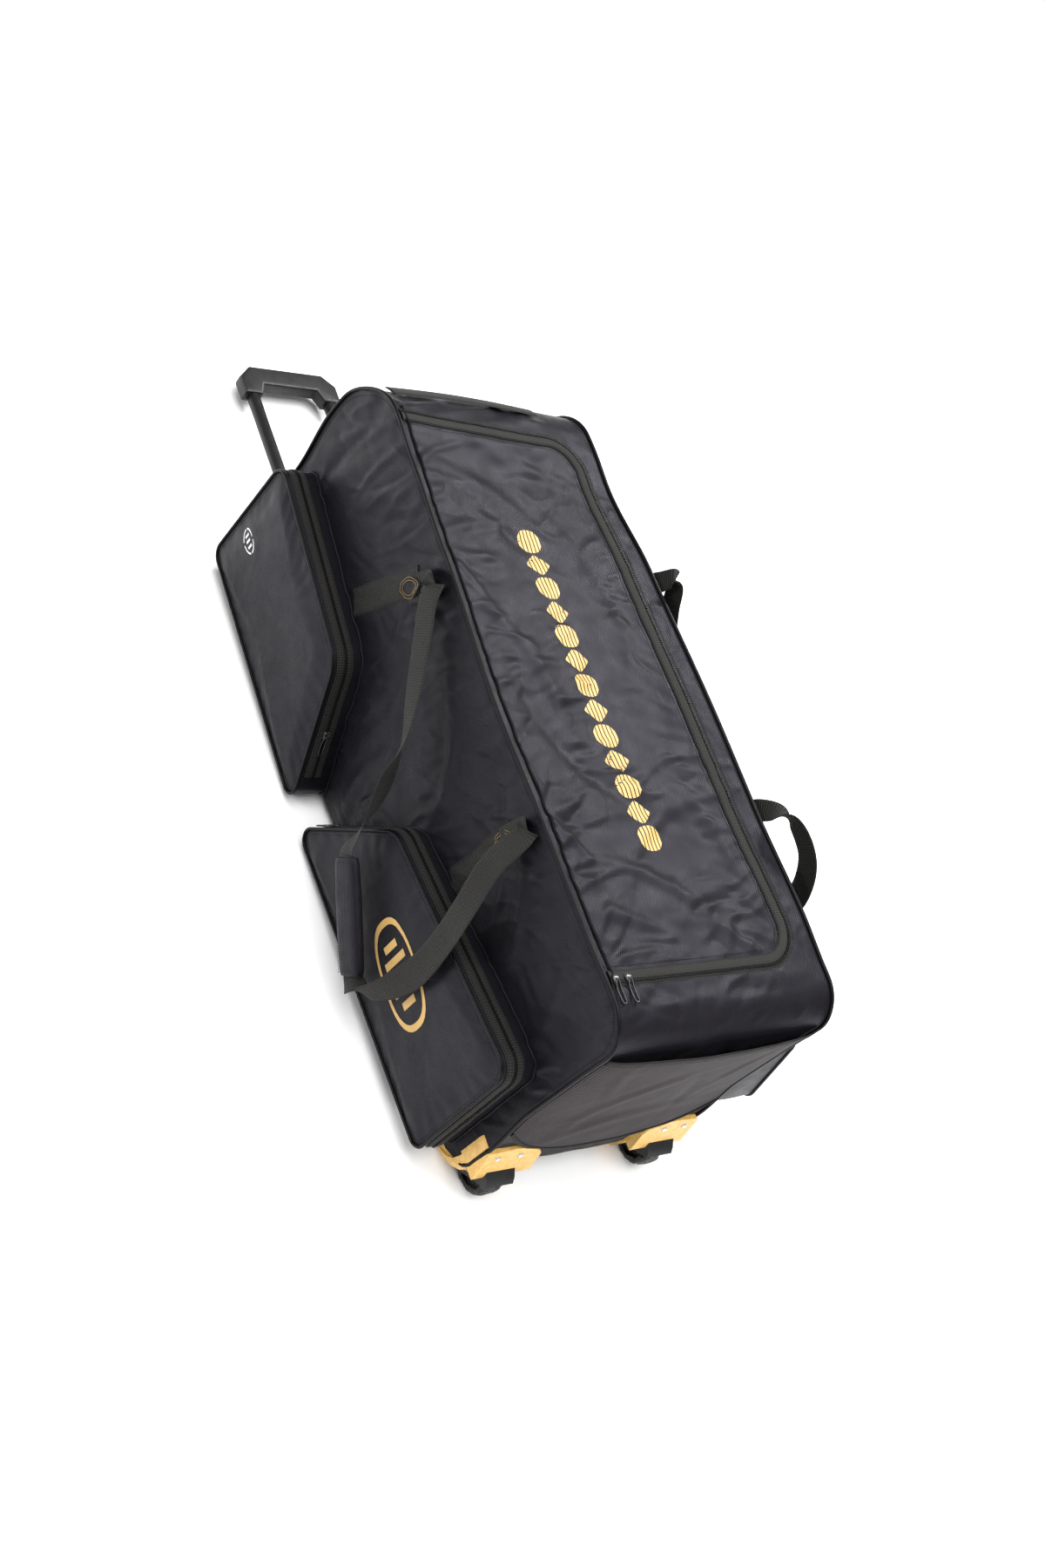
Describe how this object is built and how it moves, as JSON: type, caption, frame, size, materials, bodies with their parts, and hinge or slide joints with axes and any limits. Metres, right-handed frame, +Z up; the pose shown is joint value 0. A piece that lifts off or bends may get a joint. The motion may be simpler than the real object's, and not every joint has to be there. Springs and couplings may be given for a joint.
{
  "type": "wheeled kit bag",
  "caption": "Long soft wheeled kit bag with a zipped lid, side pockets, a mesh end pocket, webbing carry straps, corner wheel brackets and a pull-out handle.",
  "frame": {"origin": "middle of the underside of the whole object's box", "axes": "+X towards the wheel end, -Y towards the side with two pockets, +Z up"},
  "size_m": [1.337, 0.54, 0.4636],
  "materials": {
    "cloth": "coated twill, soft sheen",
    "tape": "ribbed webbing and zip tape",
    "net": "fine mesh cloth",
    "vinyl": "glossy piping",
    "gold": "satin moulded",
    "steel": "plain",
    "dark_metal": "black gloss",
    "black_plastic": "fine grained",
    "tube_metal": "satin black",
    "wheel": "matt"
  },
  "bodies": {
    "bag": {"body_shell": "cloth", "lid": "cloth", "lid_zip": "tape", "piping_near": "vinyl", "piping_far": "vinyl", "near_handle_pocket": "cloth", "near_wheel_pocket": "cloth", "far_pocket": "cloth", "near_handle_pocket_piping": "vinyl", "near_wheel_pocket_piping": "vinyl", "near_handle_pocket_zip": "tape", "near_wheel_pocket_zip": "tape", "mesh_pocket": "net", "mesh_hem": "tape", "near_strap": "tape", "far_strap": "tape", "near_grip_sleeve": "cloth", "far_grip_sleeve": "cloth", "near_band_handle": "tape", "near_band_wheel": "tape", "far_band_handle": "tape", "far_band_wheel": "tape", "grab_loop": "tape", "tube_guide_near": "tube_metal", "tube_guide_far": "tube_metal", "handle_bezel": "black_plastic", "guide_rest": "black_plastic", "lid_zip_pull_near": "dark_metal", "lid_zip_pull_far": "dark_metal", "near_handle_pocket_pull": "dark_metal", "near_wheel_pocket_pull_low": "dark_metal", "near_wheel_pocket_pull_high": "dark_metal", "wheel_housing_near": "black_plastic", "axle_near": "steel", "bracket_near": "gold", "rivet_near_outer": "steel", "rivet_near_inner": "steel", "wheel_housing_far": "black_plastic", "axle_far": "steel", "bracket_far": "gold", "rivet_far_outer": "steel", "rivet_far_inner": "steel"},
    "trolley_handle": {"trolley_grip": "black_plastic", "trolley_tube_near": "tube_metal", "trolley_tube_far": "tube_metal"},
    "wheel_near": {"wheel_near": "wheel"},
    "wheel_far": {"wheel_far": "wheel"}
  },
  "joints": [
    {"name": "handle_slide", "type": "slide", "parent": "bag", "child": "trolley_handle", "axis": [-1, 0, 0], "range_m": [-0.26, 0]},
    {"name": "wheel_near_turn", "type": "hinge", "parent": "bag", "child": "wheel_near", "pos_m": [0.6335, -0.13115, 0.035], "axis": [0, 1, 0], "continuous": true},
    {"name": "wheel_far_turn", "type": "hinge", "parent": "bag", "child": "wheel_far", "pos_m": [0.6335, 0.13486, 0.035], "axis": [0, 1, 0], "continuous": true}
  ]
}
